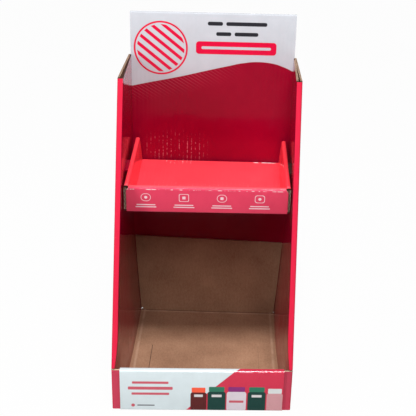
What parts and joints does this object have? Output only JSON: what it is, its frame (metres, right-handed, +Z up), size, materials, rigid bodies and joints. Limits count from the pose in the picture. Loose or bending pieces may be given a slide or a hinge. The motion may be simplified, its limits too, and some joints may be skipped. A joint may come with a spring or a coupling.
{
  "type": "counter display box",
  "caption": "Corrugated counter display with a tall header, sloping double side walls, a front lip and a forward-sloping shelf tray.",
  "frame": {"origin": "centre of the stand's footprint, on the surface it stands on", "axes": "+Z up, front lip towards -Y, header and back panel towards +Y, +X to the right of someone who faces its front"},
  "size_m": [0.258, 0.2922, 0.518],
  "materials": {
    "printed_board": "gloss laminated print",
    "kraft_board": "raw kraft inside, printed outside",
    "tray_board": "gloss laminated print"
  },
  "bodies": {
    "root": {"shell": "printed_board", "base_sheet": "kraft_board", "shelf_tray": "tray_board"}
  },
  "joints": []
}
